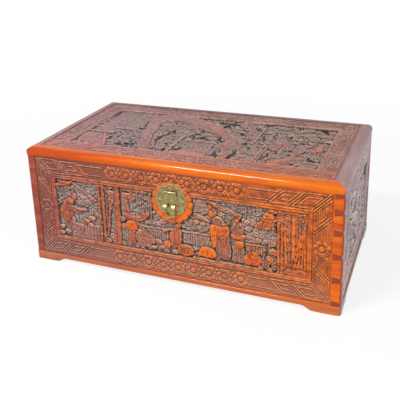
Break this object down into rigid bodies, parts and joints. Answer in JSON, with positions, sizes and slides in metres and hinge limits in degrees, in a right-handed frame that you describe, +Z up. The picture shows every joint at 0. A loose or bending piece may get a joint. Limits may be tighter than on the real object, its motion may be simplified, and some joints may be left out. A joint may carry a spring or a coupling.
{
  "type": "carved camphor wood chest",
  "caption": "Low table-top wooden box with dovetailed corners, carved panels on the front, ends and top, a hinged lid, a footed plinth and a flower-shaped brass lock plate with a hasp.",
  "frame": {"origin": "on the surface the chest stands on, under the middle of its overall outline", "axes": "+X along the front to the viewer's right, +Y from the front to the back, +Z up"},
  "size_m": [0.4, 0.229, 0.156],
  "materials": {
    "carved_wood": "lacquered carving",
    "polished_wood": "gloss lacquer",
    "bare_camphor": "bare",
    "aged_brass": "aged"
  },
  "bodies": {
    "case": {"front_board": "carved_wood", "back_board": "carved_wood", "left_board": "carved_wood", "right_board": "carved_wood", "bottom_board": "bare_camphor", "plinth_front": "polished_wood", "plinth_back": "polished_wood", "plinth_left": "polished_wood", "plinth_right": "polished_wood", "lock_plate_lower": "aged_brass", "lock_loop_left": "aged_brass", "lock_loop_right": "aged_brass", "lower_plate_nails": "aged_brass", "body_hinge_leaf_left": "aged_brass", "body_hinge_leaf_right": "aged_brass", "hinge_pin_left": "aged_brass", "hinge_pin_right": "aged_brass", "body_hinge_screws": "aged_brass"},
    "lid": {"lid_front_board": "carved_wood", "lid_back_board": "carved_wood", "lid_left_board": "carved_wood", "lid_right_board": "carved_wood", "lid_top_panel": "carved_wood", "lid_moulding_front": "polished_wood", "lid_moulding_back": "polished_wood", "lid_moulding_left": "polished_wood", "lid_moulding_right": "polished_wood", "lock_plate_upper": "aged_brass", "upper_plate_nails": "aged_brass", "hasp_pin": "aged_brass", "lid_hinge_leaf_left": "aged_brass", "lid_hinge_leaf_right": "aged_brass", "lid_hinge_screws": "aged_brass"},
    "hasp": {"hasp": "aged_brass"}
  },
  "joints": [
    {"name": "lid_hinge", "type": "hinge", "parent": "case", "child": "lid", "pos_m": [0, 0.11145, 0.11245], "axis": [-1, 0, 0], "range_deg": [0, 100]},
    {"name": "hasp_hinge", "type": "hinge", "parent": "lid", "child": "hasp", "pos_m": [0, -0.10875, 0.1224], "axis": [-1, 0, 0], "range_deg": [0, 165]}
  ]
}
